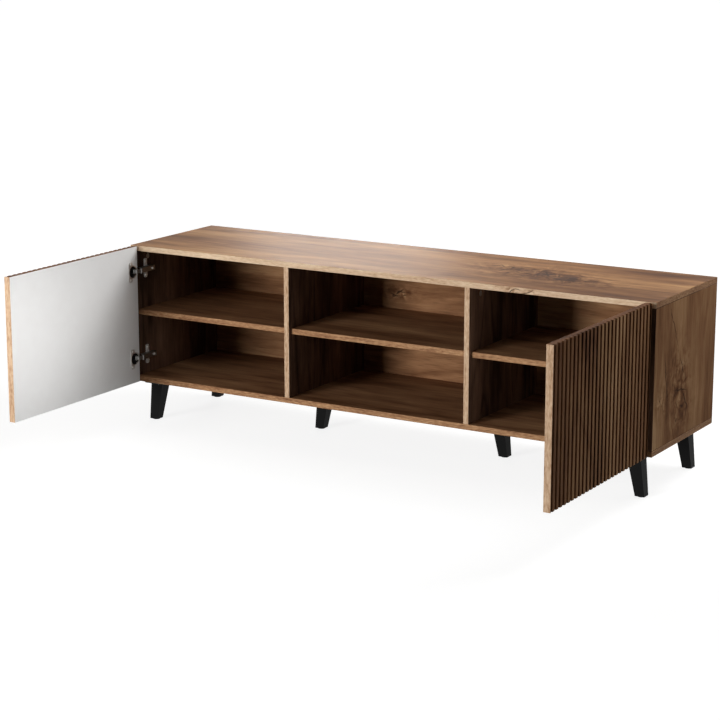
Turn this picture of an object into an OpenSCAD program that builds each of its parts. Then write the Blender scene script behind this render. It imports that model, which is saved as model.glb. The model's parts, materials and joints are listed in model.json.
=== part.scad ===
// Low television stand: three open-fronted bays under one long top, a hinged fluted door on
// each outer bay and six splayed legs. The doors stand open at a right angle as drawn.
// Lengths are millimetres. X runs along the stand, Y from front to back, Z up from the floor.

/* [Carcass] */
// Overall width of the carcass
carcass_w = 1600; // [1400:10:1900]
// Overall depth of the carcass, back sheets included
carcass_d = 400; // [360:5:480]
// Height of the carcass, legs not included
carcass_h = 392; // [360:2:460]
// Thickness of every carcass board
board_t = 15; // [15:0.5:18]
// Thickness of the back sheets
back_t = 3; // [3:0.5:5]
// Gap between neighbouring back sheets, and round their outside
sheet_gap = 1; // [0.5:0.5:2]

/* [Compartments] */
// Distance from the middle of the stand to the middle of each partition
partition_x = 277; // [220:1:330]
// Height of the shelves' top faces above the underside of the carcass
shelf_top_h = 207; // [180:1:230]
// Thickness of the shelves
shelf_t = 15; // [15:0.5:18]
// How far the shelves' front edges stand back from the carcass front
shelf_setback = 12; // [5:1:40]
// Gap between each end of a shelf and the upright beside it
shelf_end_gap = 0.5; // [0.3:0.1:1]

/* [Doors] */
// Thickness of a door, inner laminate included
door_t = 18; // [18:0.5:22]
// Thickness of the white laminate on a door's inner face
liner_t = 1; // [0.8:0.1:1.5]
// How far a closed door reaches past the partition, as a finger grip
door_overhang = 17; // [8:1:25]
// Gap above and below a door
door_end_gap = 1; // [1:0.5:3]
// How far a closed door's hinged edge stands in from the carcass side
door_side_gap = 1.5; // [1:0.5:3]
// Distance between the middles of neighbouring grooves
flute_pitch = 20.5; // [16:0.5:30]
// Width of a groove
groove_w = 8; // [6:0.2:8]
// Depth of a groove: less than the door keeps in front of its cup bores
groove_depth = 5.8; // [5.2:0.2:6]
// Rounding of the ridges' arrises
ridge_r = 1.1; // [0.5:0.1:1.1]

/* [Hinges] */
// Distance from the carcass side to the inner face of the door standing open
open_inset = 27; // [26:0.5:28]
// Gap between the carcass front and the hinged edge of the door standing open
open_gap = 6.3; // [5.8:0.1:6.8]
// Distance from the underside or the top of the carcass to the nearer hinge
hinge_end_h = 71; // [65:1:100]
// Diameter of a hinge cup
cup_d = 35; // [35:0.5:36]
// Depth of a hinge cup
cup_depth = 11.5; // [11.3:0.1:11.8]
// Distance from the door's hinged edge to the middle of a cup
cup_edge_l = 22.5; // [22:0.5:24]
// Wall of a cup
cup_wall = 1.2; // [1:0.1:1.5]
// Length of the fixing flange on a cup
flange_l = 57; // [54:1:62]
// Width of that flange
flange_w = 16; // [13:0.5:17]
// Distance between the two screws of a cup
cup_screw_span = 45; // [42:1:48]
// Distance from the middle of a cup to its line of screws
cup_screw_offset = 9.5; // [9:0.5:10]
// Distance from the carcass side to the pin in a hinge arm
arm_pin_x = 36; // [35.5:0.5:36.5]
// Distance from the carcass front back to that pin
arm_pin_y = 0; // [-0.5:0.5:0.5]
// Depth of the cup's pin below the door's inner face
cup_pin_depth = 3; // [2.8:0.1:3.5]
// Diameter of the hinge pins
pin_d = 2.4; // [2:0.1:2.6]
// Distance from the carcass front to the screws of a mounting plate
plate_setback = 46; // [44:1:60]
// Length of a mounting plate from wing tip to wing tip
plate_span = 55; // [52:1:60]
// Distance between the two screws of a mounting plate
plate_screw_span = 38; // [32:1:44]

/* [Legs] */
// Height of the underside of the carcass above the floor
leg_h = 118; // [100:1:160]
// Side of a leg's square top
leg_top = 38; // [34:1:44]
// Side of a leg's square foot
leg_foot = 26; // [24:1:32]
// How far a leg's foot stands outward of its top
leg_splay = 18; // [0:1:30]
// Distance from the carcass side to the middle of a corner leg's top
leg_inset_x = 61.5; // [55:0.5:90]
// Distance from the carcass front or back to the middle of a corner leg
leg_inset_y = 46.5; // [40:0.5:70]
// How far a middle leg's top stands inward of its partition's middle
mid_leg_shift = 3.5; // [0:0.5:10]
// Thickness of a leg's mounting plate
leg_plate_t = 6; // [5:0.5:8]
// Reach of that plate on the outer side of the leg's middle
leg_plate_out = 31.5; // [30:0.5:34]
// Reach of that plate on the inner side of the leg's middle
leg_plate_in = 20.5; // [20:0.5:26]
// Length of that plate from front to back
leg_plate_l = 66; // [64:1:76]
// Thickness of the glide under a leg
glide_t = 2; // [2:0.5:5]
// Diameter of a glide
glide_d = 20; // [16:1:22]

/* [Fittings] */
// Diameter of a wooden dowel
dowel_d = 8; // [6:0.5:8]
// Length of a dowel
dowel_l = 30; // [25:1:35]
// How deep a dowel sits in the top or bottom panel
dowel_in = 10; // [8:0.5:11]
// Diameter of a cam housing
cam_d = 15; // [14:0.5:16]
// Depth of a cam housing
cam_depth = 12.3; // [12:0.1:12.8]
// Distance from an upright's upper end to the middle of its cam
cam_l = 24; // [22:1:34]
// Diameter of a cam bolt
cam_bolt_d = 7; // [6:0.5:7]
// Length of a base screw
base_screw_l = 50; // [45:1:60]
// Distance from the front or back of an upright to its nearer screw and cam
row_inset = 60; // [50:1:80]
// Distance from that screw and cam to the dowel beside them
dowel_step = 32; // [25:1:45]
// Diameter of a shelf support's peg
peg_d = 5; // [4.5:0.5:6]
// Depth of a peg in its upright
peg_l = 6.5; // [6:0.1:7]
// Distance from a shelf's front or back edge to its nearer support
support_inset = 50; // [35:1:80]
// Radial clearance round screws, pins and dowels in their holes
fit_gap = 0.1; // [0.05:0.05:0.2]

/* [Hidden] */
$fn = 48;

walnut = "#8a6a4e";
white = "#e4e3e0";
black = "#1c1d1e";
steel = "#b9bbbd";
beech = "#d9b98c";

// Planes of the carcass: Y is 0 midway between its back and the free edges of the open doors
half_w = carcass_w / 2;
door_w = half_w - partition_x + board_t / 2 + door_overhang - door_side_gap;
front_y = (door_w + open_gap - carcass_d) / 2;
rear_y = front_y + carcass_d;
back_y = rear_y - back_t;
base_z = leg_h;
top_z = base_z + carcass_h;
upright_z = base_z + board_t;
upright_h = carcass_h - 2 * board_t;
side_x = half_w - board_t / 2;
shelf_z = base_z + shelf_top_h - shelf_t;
skin = 0.01;

// Rows of fittings along the depth of an upright
row_ys = [front_y + row_inset, back_y - row_inset];
dowel_ys = [front_y + row_inset + dowel_step, back_y - row_inset - dowel_step];
support_ys = [front_y + shelf_setback + support_inset, back_y - support_inset];

// Height of a door and its pattern of grooves
door_h = carcass_h - 2 * door_end_gap;
door_z = base_z + door_end_gap;
groove_r = groove_w / 2;
least_lip = 1;
groove_count = floor((door_w - groove_w - 2 * least_lip) / flute_pitch) + 1;
first_groove = (door_w - (groove_count - 1) * flute_pitch) / 2;

// Hinge levels, and the cup's pin placed so that its link is as long with the door shut as open
hinge_zs = [base_z + hinge_end_h, top_z - hinge_end_h];
door_front_gap = 2;
shut_dx = door_side_gap - arm_pin_x;
shut_dy = door_front_gap + cup_pin_depth + arm_pin_y;
open_dx = open_inset - cup_pin_depth - arm_pin_x;
open_dy = open_gap + arm_pin_y;
cup_pin_l = (open_dx * open_dx + open_dy * open_dy - shut_dx * shut_dx - shut_dy * shut_dy)
    / (2 * (shut_dx - open_dy));
arm_pin = [arm_pin_x, arm_pin_y];
cup_pin = [open_inset - cup_pin_depth, -open_gap - cup_pin_l];
link_dir = (cup_pin - arm_pin) / norm(cup_pin - arm_pin);
crank_share = 0.7;
crank_out = 6;
crank = arm_pin + crank_share * (cup_pin - arm_pin) + crank_out * [-link_dir[1], link_dir[0]];
link_half_h = 5.2;
link_t = 3;
eye_r = 2.4;
cup_eye_r = 2;
cheek_gap = 0.2;
cheek_t = 1.4;
cheek_z = link_half_h + cheek_gap;
flange_t = 1.5;
rim_t = 1;
rim_w = 1.5;
cavity_r = cup_d / 2 - fit_gap - cup_wall;
cavity_depth = cup_depth - cup_wall;
ear_top = 0.6;
cup_screw_r = 1.75;
cup_screw_l = 11;
plate_base_t = 3;
wing_w = 13;
rail_w = 10;
rail_y0 = 28;
rail_y1 = 64;
arm_y0 = 8;
arm_y1 = 66;
arm_floor = 20;
arm_top = 35;
web_t = 1.6;
neck_back = arm_top - web_t;
neck_w = 4;
rail_top = neck_back - fit_gap;
plate_screw_r = 2.5;
plate_screw_in = 11;
arm_screw_y = 54;
arm_screw_r = 2;
arm_screw_in = 8;
pan_head_t = 1.5;
cup_head_t = 1;

// Legs: each is [middle of its top in X, in Y], given for the left half
leg_front = [-half_w + leg_inset_x, front_y + leg_inset_y];
leg_rear = [-half_w + leg_inset_x, rear_y - leg_inset_y];
leg_mid = [-partition_x + mid_leg_shift, (front_y + rear_y) / 2];
left_legs = [leg_front, leg_mid, leg_rear];
leg_top_z = leg_h - leg_plate_t;
bolt_r = 4;
bolt_in_leg = 25;
bolt_in_board = 8;
leg_screw_r = 2;
leg_screw_head_r = 4;
leg_screw_head_t = 2.2;
leg_screw_in = 10;
screw_edge = 6.5;
glide_pin_r = 1.2;
glide_pin_l = 10;

// Fixing nails of the back sheets
nail_r = 0.7;
nail_head_r = 1.6;
nail_head_t = 0.8;
nail_l = 20;
nail_side = 4;

// Base screws and cams
base_head_r = 5;
base_head_t = 3;
base_neck_r = 3.5;
base_thread_r = 2.5;
bolt_stub_r = 3;
bolt_stub_l = 11;
socket_r = 2.1;
slot_l = 10;
slot_w = 2;
slot_depth = 1;
lug = [8, 9, 6];

module both_sides() {
    children();
    mirror([1, 0, 0]) children();
}

// The X of each upright in the left half, with the face its cams open on: 1 towards +X
left_uprights = [[-side_x, 1], [-partition_x, -1]];

module rod(r, z0, z1) {
    translate([0, 0, z0]) cylinder(r = r, h = z1 - z0);
}

// ---- fittings of the carcass, as solids or grown by a clearance as the holes for them

// A head or housing let in from z = 0 up: its hole is also open below
module let_in(r, h, gap) {
    below = gap > 0 ? 1 : 0;
    translate([0, 0, -below]) cylinder(r = r + gap, h = h + below);
}

module dowel_set(gap) {
    for (z = [upright_z - dowel_in, upright_z + upright_h + dowel_in - dowel_l])
        both_sides() for (u = left_uprights, y = dowel_ys)
            translate([u[0], y, 0]) rod(dowel_d / 2 + gap, z, z + dowel_l);
}

module base_screw_set(gap) {
    both_sides() for (u = left_uprights, y = row_ys) translate([u[0], y, base_z]) {
        let_in(base_head_r, base_head_t, gap);
        cylinder(r = base_neck_r + gap, h = board_t);
        cylinder(r = base_thread_r + gap, h = base_screw_l);
    }
}

module cam_bolt_set(gap) {
    both_sides() for (u = left_uprights, y = row_ys) translate([u[0], y, top_z - board_t]) {
        rod(bolt_stub_r + gap, -skin, bolt_stub_l);
        rod(cam_bolt_d / 2 + gap, -cam_l - cam_bolt_d / 2, 0);
    }
}

module cam_set(gap) {
    both_sides() for (u = left_uprights, y = row_ys)
        translate([u[0] + u[1] * board_t / 2, y, top_z - board_t - cam_l]) rotate([0, -u[1] * 90, 0])
            let_in(cam_d / 2, cam_depth + gap, gap);
}

module peg_set(gap) {
    reach = peg_l + gap;
    past = gap > 0 ? 1 : 0;
    starts = [-half_w + board_t - reach, -partition_x - board_t / 2 - past,
        -partition_x + board_t / 2 - reach];
    both_sides() for (x = starts, y = support_ys)
        translate([x, y, shelf_z - lug[2] / 2]) rotate([0, 90, 0])
            cylinder(r = peg_d / 2 + gap, h = reach + past);
}

// Nails of one sheet between x0 and x1: along the top and bottom panels, and up both uprights
function sheet_nails(x0, x1, n0, n1) = concat(
    [for (k = [0 : 2], z = [base_z + board_t / 2, top_z - board_t / 2])
        [x0 + (x1 - x0) * (k + 0.5) / 3, z]],
    [for (k = [1 : 2], x = [n0, n1]) [x, base_z + carcass_h * k / 3]]
);
outer_x = half_w - sheet_gap;
inner_x = partition_x + sheet_gap / 2;
nails = concat(
    sheet_nails(-outer_x, -inner_x, -side_x, -partition_x - nail_side),
    sheet_nails(-inner_x, inner_x, -partition_x + nail_side, partition_x - nail_side),
    sheet_nails(inner_x, outer_x, partition_x + nail_side, side_x)
);

module nail_set(gap) {
    for (p = nails) translate([p[0], rear_y, p[1]]) rotate([90, 0, 0]) {
        let_in(nail_head_r, nail_head_t, gap, $fn = 24);
        cylinder(r = nail_r + gap, h = nail_l + gap, $fn = 24);
    }
}

// Screw places on one leg plate, from the middle of the leg's top
leg_screw_spots = [for (x = [-leg_plate_out + screw_edge, leg_plate_in - screw_edge],
    y = [-leg_plate_l / 2 + screw_edge, leg_plate_l / 2 - screw_edge]) [x, y]];

module leg_screw_set(gap) {
    both_sides() for (l = left_legs, s = leg_screw_spots) translate([l[0] + s[0], l[1] + s[1], leg_top_z]) {
        let_in(leg_screw_head_r, leg_screw_head_t, gap);
        cylinder(r = leg_screw_r + gap, h = leg_plate_t + leg_screw_in + gap);
    }
}

module leg_bolt_set(gap) {
    both_sides() for (l = left_legs) translate([l[0], l[1], 0])
        rod(bolt_r + gap, leg_top_z - bolt_in_leg - gap, leg_h + bolt_in_board + gap);
}

module glide_pin_set(gap) {
    both_sides() for (l = left_legs) translate([l[0] - leg_splay, l[1], 0])
        rod(glide_pin_r + gap, gap > 0 ? 0 : glide_t, glide_t + glide_pin_l + gap);
}

module at_plate_screws() {
    both_sides() for (z = hinge_zs, s = [-1, 1])
        translate([-half_w + board_t, front_y + plate_setback, z + s * plate_screw_span / 2])
            rotate([0, 90, 0]) children();
}

module plate_screw_set(gap) {
    at_plate_screws() rod(plate_screw_r + gap, -plate_screw_in - gap, plate_base_t + (gap > 0 ? 1 : 0));
}

// ---- carcass boards

module long_panel(z) {
    translate([-half_w, front_y, z]) cube([carcass_w, carcass_d - back_t, board_t]);
}

module top_panel() color(walnut) difference() {
    long_panel(top_z - board_t);
    cam_bolt_set(fit_gap);
    dowel_set(fit_gap);
    nail_set(fit_gap);
}

module bottom_panel() color(walnut) difference() {
    long_panel(base_z);
    base_screw_set(fit_gap);
    dowel_set(fit_gap);
    nail_set(fit_gap);
    leg_screw_set(fit_gap);
    leg_bolt_set(fit_gap);
}

module upright(x) color(walnut) difference() {
    translate([x - board_t / 2, front_y, upright_z]) cube([board_t, carcass_d - back_t, upright_h]);
    cam_set(fit_gap);
    cam_bolt_set(fit_gap);
    dowel_set(fit_gap);
    base_screw_set(fit_gap);
    peg_set(fit_gap);
    nail_set(fit_gap);
    plate_screw_set(fit_gap);
}

module left_side_panel() upright(-side_x);
module right_side_panel() upright(side_x);
module left_partition() upright(-partition_x);
module right_partition() upright(partition_x);

module shelf(x0, x1) color(walnut)
    translate([x0 + shelf_end_gap, front_y + shelf_setback, shelf_z])
        cube([x1 - x0 - 2 * shelf_end_gap, back_y - front_y - shelf_setback - shelf_end_gap, shelf_t]);

module left_shelf() shelf(-half_w + board_t, -partition_x - board_t / 2);
module middle_shelf() shelf(-partition_x + board_t / 2, partition_x - board_t / 2);
module right_shelf() shelf(partition_x + board_t / 2, half_w - board_t);

module back_sheet(x0, x1) color(walnut) difference() {
    translate([x0, back_y, base_z + sheet_gap]) cube([x1 - x0, back_t, carcass_h - 2 * sheet_gap]);
    nail_set(fit_gap);
}

module left_back_sheet() back_sheet(-outer_x, -inner_x);
module middle_back_sheet() back_sheet(-inner_x, inner_x);
module right_back_sheet() back_sheet(inner_x, outer_x);

// ---- fittings

module back_nails() color(steel) nail_set(0);

module dowels() color(beech) dowel_set(0);

module base_screws() color(steel) difference() {
    base_screw_set(0);
    both_sides() for (u = left_uprights, y = row_ys) translate([u[0], y, base_z - 1])
        cylinder(r = socket_r, h = base_head_t + 1, $fn = 6);
}

module cam_bolts() color(steel) cam_bolt_set(0);

// The housing is open above, where the bolt comes down into it, and slotted for a screwdriver
module cam_housings() color(steel) difference() {
    cam_set(0);
    cam_bolt_set(2 * fit_gap);
    both_sides() for (u = left_uprights, y = row_ys)
        translate([u[0] + u[1] * board_t / 2, y, top_z - board_t - cam_l])
            cube([2 * slot_depth, slot_l, slot_w], center = true);
}

module lug_at(x, y) {
    translate([x, y - lug[1] / 2, shelf_z - lug[2]]) cube(lug);
}

module shelf_supports() color(steel) {
    peg_set(0);
    for (y = support_ys) both_sides() {
        lug_at(-half_w + board_t, y);
        lug_at(-partition_x - board_t / 2 - lug[0], y);
        lug_at(-partition_x + board_t / 2, y);
    }
}

// ---- legs

// A square taper between two levels: what two crossed trapezoid prisms have in common
module leg_shape(l) {
    z0 = glide_t;
    z1 = leg_top_z;
    intersection() {
        translate([l[0], l[1] + leg_top, 0]) rotate([90, 0, 0]) linear_extrude(2 * leg_top)
            polygon([[-leg_splay - leg_foot / 2, z0], [-leg_splay + leg_foot / 2, z0],
                [leg_top / 2, z1], [-leg_top / 2, z1]]);
        translate([l[0] - leg_splay - leg_top, l[1], 0]) rotate([90, 0, 90])
            linear_extrude(leg_splay + 2 * leg_top)
                polygon([[-leg_foot / 2, z0], [leg_foot / 2, z0], [leg_top / 2, z1], [-leg_top / 2, z1]]);
    }
}

module leg(l) color(black) difference() {
    leg_shape(l);
    leg_bolt_set(fit_gap);
    glide_pin_set(fit_gap);
}

module left_front_leg() leg(leg_front);
module left_middle_leg() leg(leg_mid);
module left_rear_leg() leg(leg_rear);
module right_front_leg() mirror([1, 0, 0]) leg(leg_front);
module right_middle_leg() mirror([1, 0, 0]) leg(leg_mid);
module right_rear_leg() mirror([1, 0, 0]) leg(leg_rear);

module leg_plates() color(black) difference() {
    both_sides() for (l = left_legs)
        translate([l[0] - leg_plate_out, l[1] - leg_plate_l / 2, leg_top_z])
            cube([leg_plate_out + leg_plate_in, leg_plate_l, leg_plate_t]);
    leg_screw_set(fit_gap);
    leg_bolt_set(fit_gap);
}

module leg_plate_screws() color(steel) leg_screw_set(0);

module leg_bolts() color(steel) leg_bolt_set(0);

module leg_glides() color(black) {
    both_sides() for (l = left_legs) translate([l[0] - leg_splay, l[1], 0])
        cylinder(d = glide_d, h = glide_t);
    glide_pin_set(0);
}

// ---- doors: X runs from the hinged edge, Y is 0 at the inner face and negative outwards

module at_left_door() {
    translate([-half_w + open_inset, front_y - open_gap, 0]) rotate([0, 0, -90]) children();
}

module at_cup(z) {
    at_left_door() translate([cup_edge_l, 0, z]) children();
}

// The two screws of a cup, each with z = 0 at the door's inner face and running into the door
module at_cup_screws() {
    for (s = [-1, 1])
        translate([cup_screw_offset, 0, s * cup_screw_span / 2]) rotate([90, 0, 0]) children();
}

module cup_holes() {
    for (z = hinge_zs) at_cup(z) {
        rotate([90, 0, 0]) rod(cup_d / 2, -1, cup_depth + fit_gap);
        at_cup_screws() rod(cup_screw_r + fit_gap, -1, cup_screw_l + fit_gap);
    }
}

// One ridge, with the outer arrises rounded
module ridge(x0, x1, y1) {
    translate([x0, -door_t + ridge_r]) square([x1 - x0, y1 + door_t - ridge_r]);
    translate([x0 + ridge_r, -door_t]) square([x1 - x0 - 2 * ridge_r, y1 + door_t]);
    for (x = [x0 + ridge_r, x1 - ridge_r]) translate([x, -door_t + ridge_r]) circle(r = ridge_r);
}

module door_section() {
    groove_y = -door_t + groove_depth - groove_r;
    difference() {
        translate([0, groove_y]) square([door_w, -liner_t - groove_y]);
        for (k = [0 : groove_count - 1])
            translate([first_groove + k * flute_pitch, groove_y]) circle(r = groove_r);
    }
    for (k = [0 : groove_count - 2])
        ridge(first_groove + k * flute_pitch + groove_r, first_groove + (k + 1) * flute_pitch - groove_r,
            groove_y + skin);
    for (x = [0, door_w - first_groove + groove_r])
        translate([x, -door_t]) square([first_groove - groove_r, groove_y + door_t + skin]);
}

module left_door() color(walnut) difference() {
    at_left_door() translate([0, 0, door_z]) linear_extrude(door_h) door_section();
    cup_holes();
}

module left_door_liner() color(white) difference() {
    at_left_door() translate([0, -liner_t, door_z]) cube([door_w, liner_t, door_h]);
    cup_holes();
}

module right_door() mirror([1, 0, 0]) left_door();
module right_door_liner() mirror([1, 0, 0]) left_door_liner();

// ---- hinges, drawn for the left door

// Lower face of the cheek above (s = 1) or below (s = -1) a link
function cheek_from(s) = s * (cheek_z + cheek_t / 2) - cheek_t / 2;

// The cup with its rim, its screw flange and the two ears that hold its pin
module hinge_cup(z) color(steel) at_cup(z) difference() {
    union() {
        difference() {
            union() {
                rotate([90, 0, 0]) cylinder(r = cup_d / 2 - fit_gap, h = cup_depth);
                rotate([-90, 0, 0]) cylinder(r = cup_d / 2 + rim_w, h = rim_t);
                translate([cup_screw_offset - flange_w / 2, 0, -flange_l / 2])
                    cube([flange_w, flange_t, flange_l]);
            }
            rotate([90, 0, 0]) rod(cavity_r, -flange_t - 1, cavity_depth);
        }
        for (s = [-1, 1])
            translate([cup_pin_l - cup_edge_l - eye_r, -cavity_depth - skin, cheek_from(s)])
                cube([2 * eye_r, cavity_depth - ear_top, cheek_t]);
    }
    translate([cup_pin_l - cup_edge_l, -cup_pin_depth, 0]) rod(pin_d / 2 + fit_gap, -cup_d, cup_d);
    at_cup_screws() rod(cup_screw_r + fit_gap, -flange_t - 1, 1);
}

module at_pin(p) {
    translate([-half_w + p[0], front_y + p[1], 0]) children();
}

// The arm: a channel over the mounting plate, with two cheeks that hold the pin of the link
module hinge_arm(z) color(steel) difference() {
    translate([-half_w, front_y, z]) {
        for (s = [-1, 1]) translate([0, 0, cheek_from(s)]) linear_extrude(cheek_t) {
            translate(arm_pin) circle(r = eye_r);
            translate([neck_back, arm_pin_y]) square([neck_w, arm_y0 + web_t - arm_pin_y]);
            translate([arm_floor, arm_y0]) square([arm_top - arm_floor, arm_y1 - arm_y0]);
        }
        translate([neck_back, arm_y0, -cheek_z - cheek_t])
            cube([web_t, arm_y1 - arm_y0, 2 * (cheek_z + cheek_t)]);
    }
    at_pin(arm_pin) rod(pin_d / 2 + fit_gap, z - cup_d, z + cup_d);
    arm_screw(z, fit_gap);
}

module arm_screw(z, gap) {
    translate([-half_w, front_y + arm_screw_y, z]) rotate([0, 90, 0])
        rod(arm_screw_r + gap, rail_top - arm_screw_in - gap, arm_top + (gap > 0 ? 1 : 0));
}

module mounting_plate(z) color(steel) difference() {
    translate([-half_w + board_t, front_y, z]) {
        translate([0, plate_setback - wing_w / 2, -plate_span / 2])
            cube([plate_base_t, wing_w, plate_span]);
        translate([0, rail_y0, -rail_w / 2]) cube([rail_top - board_t, rail_y1 - rail_y0, rail_w]);
    }
    plate_screw_set(fit_gap);
    arm_screw(z, fit_gap);
}

module link_bar(p, q) {
    turn = atan2(q[1] - p[1], q[0] - p[0]);
    translate(p) rotate([0, 0, turn]) translate([0, -link_t / 2]) square([norm(q - p), link_t]);
}

// The cranked link between the arm's pin and the cup's pin
module hinge_link(z) color(steel)
    translate([-half_w, front_y, z - link_half_h]) linear_extrude(2 * link_half_h) difference() {
        union() {
            link_bar(arm_pin, crank);
            link_bar(crank, cup_pin);
            translate(crank) circle(d = link_t);
            translate(arm_pin) circle(r = eye_r);
            translate(cup_pin) circle(r = cup_eye_r);
        }
        for (p = [arm_pin, cup_pin]) translate(p) circle(r = pin_d / 2 + fit_gap / 2);
    }

module left_upper_hinge_cup() hinge_cup(hinge_zs[1]);
module left_lower_hinge_cup() hinge_cup(hinge_zs[0]);
module right_upper_hinge_cup() mirror([1, 0, 0]) hinge_cup(hinge_zs[1]);
module right_lower_hinge_cup() mirror([1, 0, 0]) hinge_cup(hinge_zs[0]);
module left_upper_hinge_arm() hinge_arm(hinge_zs[1]);
module left_lower_hinge_arm() hinge_arm(hinge_zs[0]);
module right_upper_hinge_arm() mirror([1, 0, 0]) hinge_arm(hinge_zs[1]);
module right_lower_hinge_arm() mirror([1, 0, 0]) hinge_arm(hinge_zs[0]);
module left_upper_mounting_plate() mounting_plate(hinge_zs[1]);
module left_lower_mounting_plate() mounting_plate(hinge_zs[0]);
module right_upper_mounting_plate() mirror([1, 0, 0]) mounting_plate(hinge_zs[1]);
module right_lower_mounting_plate() mirror([1, 0, 0]) mounting_plate(hinge_zs[0]);

module left_hinge_links() for (z = hinge_zs) hinge_link(z);
module right_hinge_links() mirror([1, 0, 0]) left_hinge_links();

module pins_at(p) color(steel) for (z = hinge_zs)
    at_pin(p) rod(pin_d / 2, z - cheek_z - cheek_t, z + cheek_z + cheek_t);

module left_cup_pins() pins_at(cup_pin);
module right_cup_pins() mirror([1, 0, 0]) left_cup_pins();
module arm_pins() both_sides() pins_at(arm_pin);

module left_cup_screws() color(steel) for (z = hinge_zs) at_cup(z) at_cup_screws() {
    rod(cup_screw_r, -flange_t, cup_screw_l);
    rod(2 * cup_screw_r, -flange_t - cup_head_t, -flange_t);
}
module right_cup_screws() mirror([1, 0, 0]) left_cup_screws();

module mounting_plate_screws() color(steel) {
    plate_screw_set(0);
    at_plate_screws() rod(2 * plate_screw_r, plate_base_t, plate_base_t + pan_head_t);
}

module hinge_arm_screws() color(steel) both_sides() for (z = hinge_zs) {
    arm_screw(z, 0);
    translate([-half_w, front_y + arm_screw_y, z]) rotate([0, 90, 0])
        rod(2 * arm_screw_r, arm_top, arm_top + pan_head_t);
}

top_panel();
bottom_panel();
left_side_panel();
right_side_panel();
left_partition();
right_partition();
left_shelf();
middle_shelf();
right_shelf();
left_back_sheet();
middle_back_sheet();
right_back_sheet();
back_nails();
shelf_supports();
cam_housings();
cam_bolts();
dowels();
base_screws();
left_front_leg();
left_middle_leg();
left_rear_leg();
right_front_leg();
right_middle_leg();
right_rear_leg();
leg_plates();
leg_plate_screws();
leg_bolts();
leg_glides();
left_door();
left_door_liner();
right_door();
right_door_liner();
left_upper_hinge_cup();
left_lower_hinge_cup();
right_upper_hinge_cup();
right_lower_hinge_cup();
left_upper_hinge_arm();
left_lower_hinge_arm();
right_upper_hinge_arm();
right_lower_hinge_arm();
left_upper_mounting_plate();
left_lower_mounting_plate();
right_upper_mounting_plate();
right_lower_mounting_plate();
left_hinge_links();
right_hinge_links();
left_cup_pins();
right_cup_pins();
arm_pins();
left_cup_screws();
right_cup_screws();
mounting_plate_screws();
hinge_arm_screws();
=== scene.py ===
import json
import math

import bpy
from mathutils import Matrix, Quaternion, Vector

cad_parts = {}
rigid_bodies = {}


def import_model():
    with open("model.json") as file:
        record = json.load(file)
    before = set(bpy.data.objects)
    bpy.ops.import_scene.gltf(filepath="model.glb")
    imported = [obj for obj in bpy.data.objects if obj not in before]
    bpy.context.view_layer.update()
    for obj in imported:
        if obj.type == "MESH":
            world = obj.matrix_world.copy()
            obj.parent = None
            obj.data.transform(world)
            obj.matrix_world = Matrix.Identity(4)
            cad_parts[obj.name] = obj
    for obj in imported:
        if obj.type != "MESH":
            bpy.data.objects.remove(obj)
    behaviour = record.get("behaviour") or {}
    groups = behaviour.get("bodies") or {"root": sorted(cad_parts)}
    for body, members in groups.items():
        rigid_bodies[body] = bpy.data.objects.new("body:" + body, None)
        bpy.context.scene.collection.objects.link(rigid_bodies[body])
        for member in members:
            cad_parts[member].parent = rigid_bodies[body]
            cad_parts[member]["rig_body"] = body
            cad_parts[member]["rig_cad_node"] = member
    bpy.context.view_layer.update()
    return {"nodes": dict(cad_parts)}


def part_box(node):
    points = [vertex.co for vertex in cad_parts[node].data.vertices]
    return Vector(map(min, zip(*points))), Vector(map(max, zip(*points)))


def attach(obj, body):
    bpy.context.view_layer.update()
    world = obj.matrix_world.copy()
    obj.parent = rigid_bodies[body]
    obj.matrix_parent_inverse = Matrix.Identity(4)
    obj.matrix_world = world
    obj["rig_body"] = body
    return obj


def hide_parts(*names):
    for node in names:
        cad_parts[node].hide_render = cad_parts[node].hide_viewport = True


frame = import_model()
nodes = frame["nodes"]
bpy.ops.object.select_all(action="DESELECT")
print("frame loaded:", len(nodes), "CAD nodes")

# camera, at the height and side from which the stand is seen
view = {
    "place": (2.7706, -4.5969, 1.5255),
    "pitchDown": 0.2268,  # radians below level
    "yaw": 0.5421,
    "lens": 105.0,
    "sensor": 36.0,
    "reach": 200.0,  # metres, beyond the whole floor
}
bpy.ops.object.camera_add(
    location=view["place"],
    rotation=(math.pi / 2 - view["pitchDown"], 0, view["yaw"]),
)
camera = bpy.context.object
camera.data.lens = view["lens"]
camera.data.sensor_width = view["sensor"]
camera.data.clip_end = view["reach"]
bpy.context.scene.camera = camera
bpy.context.scene.view_settings.view_transform = "Standard"


def linear(hexColor):
    # sRGB hex to the linear values that the shaders take
    parts = [int(hexColor[i:i + 2], 16) / 255 for i in (1, 3, 5)]
    return tuple(p / 12.92 if p <= 0.04045 else ((p + 0.055) / 1.055) ** 2.4 for p in parts) + (1.0,)


def addNode(tree, kind, settings=None, links=None, out=0):
    # a setting is a socket where the node has one of that number or name, otherwise a property;
    # out is the output that is handed back
    node = tree.nodes.new(kind)
    for key, value in (settings or {}).items():
        if isinstance(key, int) or key in node.inputs:
            node.inputs[key].default_value = value
        else:
            setattr(node, key, value)
    for key, source in (links or {}).items():
        tree.links.new(source, node.inputs[key])
    return node.outputs[out]


def newMaterial(name):
    material = bpy.data.materials.new(name)
    material.use_nodes = True
    tree = material.node_tree
    shader = tree.nodes["Principled BSDF"]
    return material, tree, shader


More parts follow.
